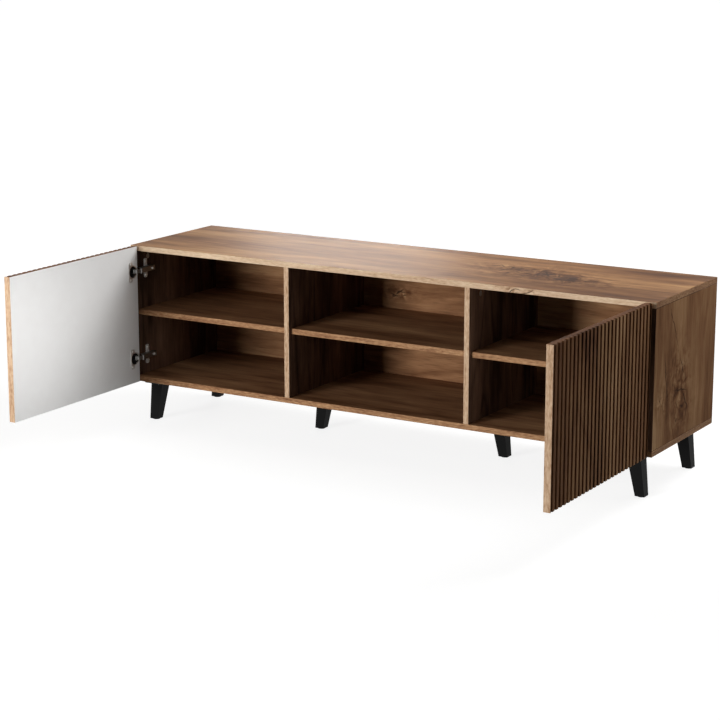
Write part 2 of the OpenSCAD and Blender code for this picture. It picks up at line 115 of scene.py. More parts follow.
# Melamine-faced chipboard: a printed paper of knotty oak pressed on under heat, with fine pores.
# It gives the eye long soft streaks, growth lines that open round the knots, and a matt skin.
oakLook = {
    "tones": [(0.0, "#3a2316"), (0.26, "#68452d"), (0.5, "#8b6446"), (0.74, "#a8805c"), (1.0, "#c69e77")],
    "mean": 0.5,
    "layers": [
        # patterns to a metre along the grain and across it, detail, and how far each moves the tone
        (1.5, 6.5, 2.0, 1.0),
        (3.6, 24.0, 2.0, 0.6),
        (9.0, 80.0, 3.0, 0.45),
        (22.0, 260.0, 2.0, 0.25),
    ],
    "lines": (0.6, 6.0, 17.0, 0.24),  # slow field along, across, lines for one unit of it, depth
    "pores": (24.0, 420.0, 0.35),     # drawn 2.4 mm wide: the real 0.3 mm is too fine to show
    "poreColor": "#3a281c",
    "crackColor": "#2c1c12",
    "roughness": 0.58,
    "specular": 0.03,
}


# What every oak print shares. The values of noise and of an oval run from 0 to 1.
figure = {
    "noiseRoughness": 0.55,
    "throughBoard": 1000.0,             # metres, so that an oval doesn't fade with depth
    # patterns to a metre along, across and through, and how many metres they move the grain
    "drift": ((1.4, 5.0, 5.0), (0.03, 0.04)),
    "ragged": (33.0, (0.02, 0.02)),     # the same round knots and cracks, with one scale for all ways
    "knotPush": 0.75,                   # how far a knot pushes the grain aside, in its half widths
    "lineSharpness": 5.0,
    "lineFade": (0.4, 0.65),            # where growth lines begin to show and where they are full
    "lineAtKnot": 0.22,                 # how much deeper they are in a knot
    "crack": (0.3, 0.75, 0.85),         # where an oval starts to be a crack, where it is full, and how full
    "mottle": (32.0, 0.8),              # patterns to a metre in a knot, and their distortion
    "mottleTone": (2.2, -1.24),         # what the mottle is multiplied by, and what is added
    "check": (16.0, 42.0, 0.0),         # cells to a metre between which a knot's fine cracks run
    "checkEdge": (0.07, 0.02),          # distance from a cell's edge at which they begin and are full
    "checkFade": (0.52, 0.6),           # the mottle where they begin and are full
    "checkHeart": (0.4, 0.7, 0.8),      # how near a knot's middle they begin and are full, and how full
    "poreFade": (0.42, 0.3),            # where a pore begins to show and where it is full
    "glossSpread": 0.07,                # how far the roughness swings from its mean
    "relief": (0.08, 0.0004),           # strength and height of the bump
}


def spot(tree, place, along, across, halfLength, halfWidth, turn=0.0):
    # an oval on the print, the same all through the board: its own coordinates, and a value of 1 in
    # its middle that halves at its rim
    ratio = addNode(
        tree, "ShaderNodeMapping",
        {
            "vector_type": "TEXTURE", "Location": (along, across, 0), "Rotation": (0, 0, turn),
            "Scale": (halfLength, halfWidth, figure["throughBoard"]),
        },
        {"Vector": place},
    )
    squared = addNode(
        tree, "ShaderNodeVectorMath", {"operation": "DOT_PRODUCT"}, {0: ratio, 1: ratio}, out="Value",
    )
    return ratio, addNode(tree, "ShaderNodeMath", {"operation": "POWER", 0: 0.5}, {1: squared})


def streaksAlong(tree, grain, along, across, settings, out=0):
    # noise with so many patterns to a metre along the grain and across it
    size = addNode(
        tree, "ShaderNodeVectorMath", {"operation": "MULTIPLY", 1: (along, across, across)}, {0: grain},
    )
    return addNode(tree, "ShaderNodeTexNoise", {"Scale": 1.0, **settings}, {"Vector": size}, out)


def wander(tree, place, noise, reach):
    # moves a place by noise, by half the reach to both sides along the grain and across it
    moved = addNode(
        tree, "ShaderNodeVectorMath",
        {"operation": "MULTIPLY_ADD", 1: (*reach, 0.0), 2: (-reach[0] / 2, -reach[1] / 2, 0.0)},
        {0: noise},
    )
    return addNode(tree, "ShaderNodeVectorMath", {"operation": "ADD"}, {0: place, 1: moved})


def openGrain(tree, grain, ragged, knots):
    # the grain, pushed aside round each knot, and how near a knot's middle a place is
    near = None
    for knot in knots:
        ratio, halo = spot(tree, ragged, *knot)
        aside = (0, -figure["knotPush"] * knot[3], 0)
        push = addNode(tree, "ShaderNodeVectorMath", {"operation": "MULTIPLY", 1: aside}, {0: ratio})
        push = addNode(tree, "ShaderNodeVectorMath", {"operation": "SCALE"}, {0: push, "Scale": halo})
        grain = addNode(tree, "ShaderNodeVectorMath", {"operation": "ADD"}, {0: grain, 1: push})
        if near is not None:
            halo = addNode(tree, "ShaderNodeMath", {"operation": "MAXIMUM"}, {0: near, 1: halo})
        near = halo
    return grain, near


def longCracks(tree, ragged, cracks):
    # how far the wood is split
    split = None
    for crack in cracks:
        line = spot(tree, ragged, *crack)[1]
        if split is not None:
            line = addNode(tree, "ShaderNodeMath", {"operation": "MAXIMUM"}, {0: split, 1: line})
        split = line
    if split is None:
        return None
    start, full, most = figure["crack"]
    return addNode(
        tree, "ShaderNodeMapRange", {"From Min": start, "From Max": full, "To Max": most}, {0: split},
    )


def layeredTone(tree, grain, look):
    # the tone: its mean, moved by streaks at several sizes; the last and finest streaks, which also
    # carry the gloss and the relief, are handed back too
    tone = None
    total = sum(layer[3] for layer in look["layers"])
    for along, across, detail, amount in look["layers"]:
        streaks = streaksAlong(
            tree, grain, along, across, {"Detail": detail, "Roughness": figure["noiseRoughness"]},
        )
        if tone is None:
            tone = addNode(
                tree, "ShaderNodeMath",
                {"operation": "MULTIPLY_ADD", 1: amount, 2: look["mean"] - total / 2}, {0: streaks},
            )
        else:
            tone = addNode(
                tree, "ShaderNodeMath", {"operation": "MULTIPLY_ADD", 1: amount}, {0: streaks, 2: tone},
            )
    return tone, streaks


def growthLines(tree, grain, near, look):
    # the lines are contours of a slow field, and they come and go
    along, across, count, depth = look["lines"]
    field = streaksAlong(tree, grain, along, across, {"Detail": 1.0}, out="Color")
    fields = addNode(tree, "ShaderNodeSeparateColor", links={0: field}).node.outputs
    lines = addNode(tree, "ShaderNodeMath", {"operation": "MULTIPLY", 1: count}, {0: fields[0]})
    lines = addNode(tree, "ShaderNodeMath", {"operation": "PINGPONG", 1: 1.0}, {0: lines})
    lines = addNode(tree, "ShaderNodeMath", {"operation": "POWER", 1: figure["lineSharpness"]}, {0: lines})
    start, full = figure["lineFade"]
    strong = addNode(
        tree, "ShaderNodeMapRange", {"From Min": start, "From Max": full, "To Max": depth}, {0: fields[1]},
    )
    if near is not None:
        strong = addNode(
            tree, "ShaderNodeMath",
            {"operation": "MULTIPLY_ADD", 1: figure["lineAtKnot"]}, {0: near, 2: strong},
        )
    return addNode(tree, "ShaderNodeMath", {"operation": "MULTIPLY"}, {0: lines, 1: strong})


def knotHeart(tree, turned, ragged, near):
    # a knot is mottled, and checked along its rings: what it adds to the tone, and its fine cracks
    scale, distortion = figure["mottle"]
    mottle = addNode(
        tree, "ShaderNodeTexNoise",
        {"Scale": scale, "Detail": 3.0, "Roughness": figure["noiseRoughness"], "Distortion": distortion},
        {"Vector": turned},
    )
    gain, offset = figure["mottleTone"]
    shade = addNode(tree, "ShaderNodeMath", {"operation": "MULTIPLY_ADD", 1: gain, 2: offset}, {0: mottle})
    shade = addNode(tree, "ShaderNodeMath", {"operation": "MULTIPLY"}, {0: shade, 1: near})

    cells = addNode(tree, "ShaderNodeVectorMath", {"operation": "MULTIPLY", 1: figure["check"]}, {0: ragged})
    check = addNode(
        tree, "ShaderNodeTexVoronoi", {"feature": "DISTANCE_TO_EDGE", "Scale": 1.0}, {"Vector": cells},
        out="Distance",
    )
    start, full = figure["checkEdge"]
    check = addNode(tree, "ShaderNodeMapRange", {"From Min": start, "From Max": full}, {0: check})
    start, full = figure["checkFade"]
    some = addNode(tree, "ShaderNodeMapRange", {"From Min": start, "From Max": full}, {0: mottle})
    start, full, most = figure["checkHeart"]
    heart = addNode(
        tree, "ShaderNodeMapRange", {"From Min": start, "From Max": full, "To Max": most}, {0: near},
    )
    check = addNode(tree, "ShaderNodeMath", {"operation": "MULTIPLY"}, {0: check, 1: some})
    check = addNode(tree, "ShaderNodeMath", {"operation": "MULTIPLY"}, {0: check, 1: heart})
    return shade, check


def woodTint(tree, tone, look):
    # the print's colour for a tone from 0, dark, to 1, light
    ramp = addNode(tree, "ShaderNodeValToRGB", links={0: tone})
    stops = ramp.node.color_ramp.elements
    while len(stops) < len(look["tones"]):
        stops.new(0.5)
    for stop, (position, tint) in zip(stops, look["tones"]):
        stop.position = position
        stop.color = linear(tint)
    return ramp


def printedOak(name, axes, knots=(), cracks=(), clouds=(), shift=(0, 0, 0), look=oakLook):
    # axes: which of x y z runs along the grain, across it and through the board
    # knots and cracks: along, across, half length, half width and, where it lies askew, its turn,
    # in metres and radians in the piece's own frame
    # clouds: along, across, half length, half width, and how far this broad patch moves the tone
    material, tree, shader = newMaterial(name)
    place = addNode(tree, "ShaderNodeTexCoord", out="Object")
    ways = addNode(tree, "ShaderNodeSeparateXYZ", links={0: place}).node.outputs
    turned = addNode(tree, "ShaderNodeCombineXYZ", links={i: ways[axis] for i, axis in enumerate(axes)})
    grain = addNode(tree, "ShaderNodeVectorMath", {"operation": "ADD", 1: shift}, {0: turned})

    # a slow drift keeps the streaks from running dead straight
    scale, reach = figure["drift"]
    slow = addNode(tree, "ShaderNodeVectorMath", {"operation": "MULTIPLY", 1: scale}, {0: grain})
    slow = addNode(tree, "ShaderNodeTexNoise", {"Scale": 1.0, "Detail": 2.0}, {"Vector": slow}, out="Color")
    grain = wander(tree, grain, slow, reach)

    # a quick one, 30 mm long, leaves knots and cracks ragged
    ragged = turned
    if knots or cracks:
        scale, reach = figure["ragged"]
        quick = addNode(
            tree, "ShaderNodeTexNoise", {"Scale": scale, "Detail": 3.0}, {"Vector": turned}, out="Color",
        )
        ragged = wander(tree, turned, quick, reach)
    grain, near = openGrain(tree, grain, ragged, knots)
    split = longCracks(tree, ragged, cracks)

    tone, streaks = layeredTone(tree, grain, look)
    for along, across, halfLength, halfWidth, amount in clouds:
        cloud = spot(tree, turned, along, across, halfLength, halfWidth)[1]
        tone = addNode(tree, "ShaderNodeMath", {"operation": "MULTIPLY_ADD", 1: amount}, {0: cloud, 2: tone})
    lines = growthLines(tree, grain, near, look)
    tone = addNode(tree, "ShaderNodeMath", {"operation": "SUBTRACT"}, {0: tone, 1: lines})
    if near is not None:
        shade, check = knotHeart(tree, turned, ragged, near)
        tone = addNode(tree, "ShaderNodeMath", {"operation": "ADD"}, {0: tone, 1: shade})
        if split is not None:
            check = addNode(tree, "ShaderNodeMath", {"operation": "MAXIMUM"}, {0: split, 1: check})
        split = check

    along, across, depth = look["pores"]
    pores = streaksAlong(tree, grain, along, across, {"Detail": 2.0})
    start, full = figure["poreFade"]
    pores = addNode(
        tree, "ShaderNodeMapRange", {"From Min": start, "From Max": full, "To Max": depth}, {0: pores},
    )
    color = addNode(
        tree, "ShaderNodeMix", {"data_type": "RGBA", 7: linear(look["poreColor"])},
        {0: pores, 6: woodTint(tree, tone, look)}, out=2,
    )
    if split is not None:
        color = addNode(
            tree, "ShaderNodeMix", {"data_type": "RGBA", 7: linear(look["crackColor"])},
            {0: split, 6: color}, out=2,
        )
    tree.links.new(color, shader.inputs["Base Color"])

    lowest = look["roughness"] - figure["glossSpread"]
    highest = look["roughness"] + figure["glossSpread"]
    gloss = addNode(tree, "ShaderNodeMapRange", {"To Min": lowest, "To Max": highest}, {0: streaks})
    tree.links.new(gloss, shader.inputs["Roughness"])
    shader.inputs["Specular IOR Level"].default_value = look["specular"]
    relief = addNode(tree, "ShaderNodeMath", {"operation": "SUBTRACT"}, {0: streaks, 1: pores})
    strength, height = figure["relief"]
    bump = addNode(tree, "ShaderNodeBump", {"Strength": strength, "Distance": height}, {"Height": relief})
    tree.links.new(bump, shader.inputs["Normal"])
    return material


# Edge band: the same print on a thin strip ironed over the board's edge, a shade lighter on the
# edges that show most
bandLook = dict(oakLook)
bandLook.update({
    "tones": [(0.0, "#6e4e38"), (0.28, "#a28062"), (0.5, "#bfa083"), (0.74, "#cdb294"), (1.0, "#dac3a6")],
    "poreColor": "#7a5a42",
    "layers": [(1.6, 30.0, 2.0, 0.4), (9.0, 120.0, 3.0, 0.7), (75.0, 260.0, 2.0, 0.9)],
    "lines": (2.2, 20.0, 6.0, 0.12),
    "specular": 0.08,
})
topBandLook = dict(bandLook)
topBandLook.update({"mean": 0.62})
edgeLook = dict(bandLook)
edgeLook.update({"tones": oakLook["tones"], "poreColor": oakLook["poreColor"], "mean": 0.61})
# The top's print is a shade yellower, and its coat is smoother, so lamps leave a soft sheen on it
topLook = dict(oakLook)
topLook.update({
    "tones": [(0.0, "#3a2315"), (0.26, "#68452a"), (0.5, "#8b6441"), (0.74, "#a88056"), (1.0, "#c69e6f")],
    "mean": 0.49,
    "specular": 0.025,
    "roughness": 0.46,
})
# The uprights take a greyer print, darkened as painted shade: it covers the partitions, the sides' inner
# faces in the bays and the sides' front edges beside the open doors, where little light reaches
uprightShadeLook = dict(oakLook)
uprightShadeLook.update({
    "tones": [(0.0, "#3a2a21"), (0.26, "#684e3e"), (0.5, "#8b6c57"), (0.74, "#a88670"), (1.0, "#c6a286")],
    "mean": 0.22,
    "specular": 0.03,
})
# The outer faces of the sides are a shade lighter than the other boards, and more matt
sideLook = dict(oakLook)
sideLook.update({"mean": 0.55, "specular": 0.015})
# The foil wrapped over the doors' flutes has the same print, a shade lighter on the ridge tops as painted
# light, against the painted shade of the grooves
litRidgeFoilLook = dict(oakLook)
litRidgeFoilLook.update({"mean": 0.62, "specular": 0.03})
# Down in the grooves the same foil is printed darker: painted shade, where the ridges keep the light out
grooveShadeLook = dict(litRidgeFoilLook)
grooveShadeLook.update({"mean": 0.36, "specular": 0.02})
# The doors' top and bottom ends show the cut section of the flutes, stained to the print's dark tone
endLook = dict(oakLook)
endLook.update({"mean": 0.36, "specular": 0.02})

oak = {
    "top": printedOak(
        "oak_print_top", "XYZ", shift=(0.3, 0.1, 0), look=topLook,
        knots=[(0.37, 0.28, 0.12, 0.065), (0.5, 0.235, 0.09, 0.05), (0.27, 0.32, 0.07, 0.03)],
        cracks=[
            (0.343, 0.213, 0.055, 0.002, 0.6), (0.405, 0.28, 0.035, 0.003, -0.9),
            (0.6, 0.211, 0.1, 0.0022, 0.05), (0.288, 0.321, 0.03, 0.0025, -0.24),
            (0.36, 0.3, 0.05, 0.0025, 0.1), (0.45, 0.262, 0.05, 0.002, 0.15),
        ],
        clouds=[
            (0.44, 0.27, 0.2, 0.14, -0.11), (0.74, 0.27, 0.14, 0.3, -0.11), (-0.45, 0.25, 0.16, 0.12, 0.07),
        ],
    ),
    "bottom": printedOak("oak_print_bottom", "XYZ", shift=(2.3, 0.7, 0)),
    "shelves": printedOak("oak_print_shelves", "XYZ", shift=(5.1, 1.9, 0)),
    "rightSide": printedOak(
        "oak_print_right_side", "ZYX", shift=(1.4, 0.3, 0), look=sideLook,
        knots=[(0.27, 0.235, 0.075, 0.055), (0.2, 0.255, 0.045, 0.05), (0.25, 0.13, 0.035, 0.03)],
        cracks=[
            (0.43, 0.195, 0.06, 0.0016, -0.49), (0.31, 0.256, 0.03, 0.0016, -0.49),
            (0.3, 0.153, 0.06, 0.0025, -0.15), (0.255, 0.25, 0.04, 0.0022, -1.37),
            (0.226, 0.278, 0.028, 0.003, -0.7),
        ],
        clouds=[(0.19, 0.07, 0.13, 0.06, 0.42)],
    ),
    "leftSide": printedOak(
        "oak_print_left_side", "ZYX", shift=(2.6, 5.3, 0), look=sideLook, knots=[(0.39, 0.34, 0.05, 0.03)],
        cracks=[(0.3, 0.335, 0.06, 0.0018, 0.08)],
    ),
    "uprights": printedOak("oak_print_uprights", "ZYX", shift=(4.4, 2.3, 0), look=uprightShadeLook),
    "backs": printedOak(
        "oak_print_backs", "XZY", shift=(3.1, 0.9, 0), knots=[(-0.154, 0.37, 0.04, 0.018)],
        cracks=[(-0.15, 0.374, 0.016, 0.003, 0.8), (-0.168, 0.364, 0.012, 0.002, -0.4)],
        clouds=[(-0.45, 0.43, 0.16, 0.06, 0.2), (0.1, 0.2, 0.25, 0.06, -0.06)],
    ),
    "doors": printedOak(
        "oak_foil_doors_painted_light", "ZYX", shift=(7.7, 3.1, 0), look=litRidgeFoilLook,
        clouds=[(0.31, -0.2, 0.4, 0.1, 0.2), (0.31, -0.46, 0.5, 0.1, -0.3)],
    ),
    "grooves": printedOak("oak_foil_grooves_painted_shade", "ZYX", shift=(7.7, 3.1, 0), look=grooveShadeLook),
    "flatBand": printedOak(
        "oak_band_long", "XZY", shift=(1.1, 4.2, 0), look=topBandLook, knots=[(0.42, 0.502, 0.05, 0.014)],
        cracks=[(0.405, 0.5, 0.012, 0.0018, 0.7), (0.447, 0.5, 0.02, 0.0016, 0.3)],
        clouds=[(-0.62, 0.5, 0.28, 0.05, 0.16)],
    ),
    "uprightBand": printedOak("oak_band_upright", "ZXY", shift=(6.1, 2.2, 0), look=bandLook),
    "plainBand": printedOak("oak_band_plain", "XZY", shift=(3.3, 7.2, 0), look=edgeLook),
    "endBand": printedOak("oak_band_ends", "YZX", shift=(2.1, 5.2, 0), look=edgeLook),
    "doorEnd": printedOak("oak_door_ends", "YXZ", shift=(4.1, 3.2, 0), look=endLook),
}
print("oak prints made:", len(oak))


# Chipboard core: coarse pressed wood chips, seen in drilled holes and on raw hidden edges
def chipboard():
    material, tree, shader = newMaterial("chipboard_core")
    place = addNode(tree, "ShaderNodeTexCoord", out="Object")
    chips = addNode(tree, "ShaderNodeTexVoronoi", {"Scale": 420.0}, {"Vector": place}, out="Color")  # 2.4 mm
    dust = addNode(tree, "ShaderNodeTexNoise", {"Scale": 900.0, "Detail": 2.0}, {"Vector": place})
    ramp = addNode(tree, "ShaderNodeValToRGB", links={0: chips})
    ramp.node.color_ramp.elements[0].color = linear("#8a6a48")
    ramp.node.color_ramp.elements[1].color = linear("#d2b48a")
    tree.links.new(ramp, shader.inputs["Base Color"])
    bump = addNode(tree, "ShaderNodeBump", {"Strength": 0.3, "Distance": 0.0004}, {"Height": dust})
    tree.links.new(bump, shader.inputs["Normal"])
    shader.inputs["Roughness"].default_value = 0.85
    return material


def plainFinish(
    name, color, second, roughness, metallic=0.0, grain=200.0, bump=0.05, specular=0.5, stretch=(1, 1, 1),
):
    # a finish whose life is in small changes of tone and gloss: grain is patterns to a metre
    material, tree, shader = newMaterial(name)
    place = addNode(tree, "ShaderNodeTexCoord", out="Object")
    place = addNode(tree, "ShaderNodeVectorMath", {"operation": "MULTIPLY", 1: stretch}, {0: place})
    fine = addNode(tree, "ShaderNodeTexNoise", {"Scale": grain, "Detail": 3.0}, {"Vector": place})
    # the tone changes 25 times more slowly than the gloss
    slow = addNode(tree, "ShaderNodeTexNoise", {"Scale": grain / 25, "Detail": 2.0}, {"Vector": place})
    tint = addNode(
        tree, "ShaderNodeMix", {"data_type": "RGBA", 6: linear(color), 7: linear(second)}, {0: slow}, out=2,
    )
    tree.links.new(tint, shader.inputs["Base Color"])
    # the gloss swings by 18 percent to both sides
    gloss = addNode(
        tree, "ShaderNodeMapRange", {"To Min": roughness * 0.82, "To Max": roughness * 1.18}, {0: fine},
    )
    tree.links.new(gloss, shader.inputs["Roughness"])
    shader.inputs["Metallic"].default_value = metallic
    shader.inputs["Specular IOR Level"].default_value = specular
    relief = addNode(tree, "ShaderNodeBump", {"Strength": bump, "Distance": 0.0002}, {"Height": fine})
    tree.links.new(relief, shader.inputs["Normal"])
    return material


finishes = {
    "chipboard": chipboard(),
    # white melamine with a fine pearl press: even, a soft sheen
    "whiteLaminate": plainFinish("white_laminate", "#eeeeed", "#e9e8e7", 0.45, grain=700.0, specular=0.35),
    # beech turned square and sprayed black: satin, arrises catch the light
    "blackLacquer": plainFinish(
        "black_satin_lacquer", "#0c0c0c", "#121212", 0.5, grain=240.0, bump=0.1, specular=0.05,
        stretch=(1, 1, 0.12),
    ),
    "blackNylon": plainFinish(
        "black_moulded_nylon", "#141516", "#1a1b1c", 0.55, grain=900.0, bump=0.15, specular=0.3,
    ),
    # pressed steel with dull nickel plating
    "nickel": plainFinish(
        "nickel_plated_steel", "#dedcd8", "#cbc9c5", 0.4, metallic=1.0, grain=600.0, bump=0.04,
    ),
    # the same steel with a thicker, clouded zinc passivation, which scatters more of the light
    "satinSteel": plainFinish(
        "satin_passivated_steel", "#ebe9e5", "#dedcd8", 0.42, metallic=0.2, grain=600.0, bump=0.05,
    ),
    # the cups' inside: the same steel painted dark, as painted shade in the cup's hollow
    "cupShadeSteel": plainFinish(
        "cup_hollow_painted_shade", "#5a5957", "#464543", 0.34, metallic=1.0, grain=600.0, bump=0.06,
    ),
    # the same steel painted darker, as painted shade and painted dark reflection: arms, links and pins
    "shadedSteel": plainFinish(
        "dark_steel_painted_shade", "#8d8c89", "#7c7b78", 0.36, metallic=1.0, grain=600.0, bump=0.04,
    ),
    "zinc": plainFinish(
        "zinc_die_casting", "#a9acae", "#96999b", 0.42, metallic=1.0, grain=500.0, bump=0.12,
    ),
    # pressed wood fibre, unpainted on the outside
    "hardboard": plainFinish(
        "raw_hardboard_back", "#87694d", "#664a34", 0.78, grain=420.0, bump=0.3, specular=0.2,
    ),
    "beech": plainFinish(
        "beech_dowel_wood", "#d9b98c", "#c39f72", 0.7, grain=400.0, bump=0.2, stretch=(1, 1, 0.08),
    ),
}
print("plain finishes made:", len(finishes))


touching = 1e-5  # metres: a place nearer than this to a limit lies on it
square = 0.9     # how much of a normal points along an axis when its face counts as square to it


def copyOf(node, piece):
    # a clean copy of a CAD node's shape: its loose triangles merged and flat faces made whole again
    bpy.ops.object.select_all(action="DESELECT")
    nodes[node].select_set(True)
    bpy.context.view_layer.objects.active = nodes[node]
    bpy.ops.object.duplicate()
    made = bpy.context.object
    bpy.ops.object.parent_clear(type="CLEAR_KEEP_TRANSFORM")
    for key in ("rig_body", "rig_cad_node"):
        del made[key]
    made.name = piece
    made.data.name = piece
    made.data.materials.clear()
    bpy.ops.mesh.customdata_custom_splitnormals_clear()
    bpy.ops.object.mode_set(mode="EDIT")
    bpy.ops.mesh.select_all(action="SELECT")
    bpy.ops.mesh.remove_doubles(threshold=1e-6)
    bpy.ops.mesh.dissolve_limited(angle_limit=math.radians(0.5))
    bpy.ops.mesh.select_all(action="DESELECT")
    bpy.ops.object.mode_set(mode="OBJECT")
    bpy.ops.object.shade_smooth_by_angle(angle=math.radians(30))
    return made


def boxOf(made):
    # the lowest and the highest corner of a piece
    corners = [v.co for v in made.data.vertices]
    low = Vector([min(c[i] for c in corners) for i in range(3)])
    high = Vector([max(c[i] for c in corners) for i in range(3)])
    return low, high


def onBox(center, low, high):
    # for x, y and z in turn, whether a face's middle lies on the box
    return [abs(center[i] - low[i]) < touching or abs(center[i] - high[i]) < touching for i in range(3)]


def roundSelected(width, segments, material=-1):
    # rounds the selected edges of the active piece, and leaves nothing selected; material is the
    # place of the rounding's own material, or -1 for its neighbour's
    bpy.ops.object.mode_set(mode="EDIT")
    bpy.context.tool_settings.mesh_select_mode = (False, True, False)
    bpy.ops.mesh.bevel(offset=width, segments=segments, affect="EDGES", material=material)
    bpy.ops.mesh.select_all(action="DESELECT")
    bpy.ops.object.mode_set(mode="OBJECT")


def softenArrises(made, width, material=-1):
    # rounds the long outer arrises of a board: the edges that lie on two faces of its box
    low, high = boxOf(made)
    for edge in made.data.edges:
        first, second = (made.data.vertices[i].co for i in edge.vertices)
        sides = sum(
            abs(first[i] - side) < touching and abs(second[i] - side) < touching
            for i in range(3) for side in (low[i], high[i])
        )
        edge.select = sides >= 2
    roundSelected(width, segments=2, material=material)


def breakEdges(made, width, segments):
    # rounds every edge of the active piece that turns by more than 40 degrees
    bevel = made.modifiers.new("arris", "BEVEL")
    bevel.width = width
    bevel.segments = segments
    bevel.limit_method = "ANGLE"
    bevel.angle_limit = math.radians(40)
    bpy.ops.object.modifier_apply(modifier=bevel.name)
    bpy.ops.object.shade_smooth_by_angle(angle=math.radians(35))


def paintFaces(made, materials, choose):
    # choose gives a material's place in the list for a face, from its middle, normal and the piece's box
    for material in materials:
        made.data.materials.append(material)
    low, high = boxOf(made)
    for face in made.data.polygons:
        face.material_index = choose(face.center, face.normal, low, high)


def finishPiece(made, node):
    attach(made, nodes[node]["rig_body"])
    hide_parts(node)


# carcass boards: which print, which band on the front edge, and how far the arrises are broken
boardArris = 0.0006
# the sides' arrises are wider and take the darker print of their inner faces, which draws the joints with
# the top and bottom as dark lines
sideArris = 0.0013
sidesBeyond = 0.5  # metres from the middle: of the upright boards only the sides stand further out
# places in a board's list of materials
boardPlaces = {"face": 0, "front": 1, "ends": 2, "core": 3, "inner": 4}
boards = {
    "top_panel": {"piece": "top_board", "face": "top", "front": "flatBand", "ends": "endBand"},
    "bottom_panel": {"piece": "bottom_board", "face": "bottom", "front": "plainBand", "ends": "endBand"},
    # the sides' front edges take the uprights' darkened print: painted shadow of the open doors that stand
    # beside them
    "left_side_panel": {
        "piece": "left_side_board", "face": "leftSide", "inner": "uprights", "front": "uprights",
    },
    "right_side_panel": {
        "piece": "right_side_board", "face": "rightSide", "inner": "uprights", "front": "uprights",
    },
    "left_partition": {"piece": "left_partition_board", "face": "uprights", "front": "uprightBand"},
    "right_partition": {"piece": "right_partition_board", "face": "uprights", "front": "uprightBand"},
    "left_shelf": {"piece": "left_shelf_board", "face": "shelves", "front": "plainBand"},
    "middle_shelf": {"piece": "middle_shelf_board", "face": "shelves", "front": "plainBand"},
    "right_shelf": {"piece": "right_shelf_board", "face": "shelves", "front": "plainBand"},
}
for node, board in boards.items():
    made = copyOf(node, board["piece"])

    def boardFace(center, normal, low, high, board=board):
        thin = min(range(3), key=lambda i: high[i] - low[i])
        outer = onBox(center, low, high)
        if outer[thin] and abs(normal[thin]) > square:
            # a side's inner face is the one that looks back to the middle
            return boardPlaces["inner" if center[0] * normal[0] < -sidesBeyond else "face"]
        if outer[1] and normal[1] < -square:
            return boardPlaces["front"]
        if outer[0] and abs(normal[0]) > square and "ends" in board:
            return boardPlaces["ends"]
        return boardPlaces["core"]

    paintFaces(
        made,
        [
            oak[board["face"]],
            oak[board["front"]],
            oak[board.get("ends", "flatBand")],
            finishes["chipboard"],
            oak[board.get("inner", board["face"])],
        ],
        boardFace,
    )
    if "inner" in board:
        softenArrises(made, sideArris, boardPlaces["inner"])
    else:
        softenArrises(made, boardArris)
    finishPiece(made, node)
print("carcass boards dressed:", len(boards))

# back sheets: printed inside, raw hardboard outside
for side in ("left", "middle", "right"):
    node = side + "_back_sheet"
    made = copyOf(node, side + "_back_board")
    paintFaces(
        made, [oak["backs"], finishes["hardboard"]],
        lambda center, normal, low, high: 0 if normal[1] < -square else 1,
    )
    finishPiece(made, node)
print("back sheets dressed")


# doors, standing open with their faces square to X: the fluted board in foil and the white sheet inside it;
# places in their lists of materials: 0 faces, printed lighter as painted light, 1 upright edges, 2 ends, 3
# grooves, printed darker as painted shade
def doorFace(center, normal, low, high):
    outer = onBox(center, low, high)
    if outer[1] and abs(normal[1]) > square:
        return 1
    if outer[2] and abs(normal[2]) > square:
        return 2
    return 0 if outer[0] and abs(normal[0]) > square else 3


def linerFace(center, normal, low, high):
    if abs(normal[1]) > square:
        return 1
    return 2 if abs(normal[2]) > square else 0


linerArris = 0.0002
for side in ("left", "right"):
    made = copyOf(side + "_door", side + "_fluted_front")
    paintFaces(made, [oak["doors"], oak["uprightBand"], oak["doorEnd"], oak["grooves"]], doorFace)
    bpy.ops.object.shade_smooth_by_angle(angle=math.radians(30))
    finishPiece(made, side + "_door")

    made = copyOf(side + "_door_liner", side + "_white_inner_face")
    paintFaces(made, [finishes["whiteLaminate"], oak["uprightBand"], oak["doorEnd"]], linerFace)
    softenArrises(made, linerArris)
    finishPiece(made, side + "_door_liner")
print("doors dressed")

# legs: the arrises are rounded and the lacquer is satin
legArris = 0.0018
for side in ("left", "right"):
    for place in ("front", "middle", "rear"):
        node = f"{side}_{place}_leg"
        made = copyOf(node, node + "_lacquered")
        made.data.materials.append(finishes["blackLacquer"])
        breakEdges(made, legArris, segments=3)
        finishPiece(made, node)
print("legs dressed")

# hinges: pressed parts with rounded wing ends and broken edges
hinge = {
    "arris": 0.00025,
    "wing": {"hinge_cup": 0.005, "mounting_plate": 0.0045},  # radius of a wing's corners
    # the arms take the darker steel: painted shade and painted dark reflection
    "finish": {"hinge_cup": "nickel", "hinge_arm": "shadedSteel", "mounting_plate": "satinSteel"},
    "sunk": 0.0004,  # a cup's faces lower than this under the door's inner face take the darker steel, painted shade in its hollow
}


def roundWings(made, radius):
    # rounds the four corners at the two ends of a piece that lies flat to X and long in Z
    low, high = boxOf(made)
    for edge in made.data.edges:
        first, second = (made.data.vertices[i].co for i in edge.vertices)
        through = abs(first[0] - second[0]) > square * (first - second).length
        fromBottom = max(first[2], second[2]) - low[2]
        fromTop = high[2] - min(first[2], second[2])
        edge.select = through and min(fromBottom, fromTop) < touching
    roundSelected(radius, segments=6)


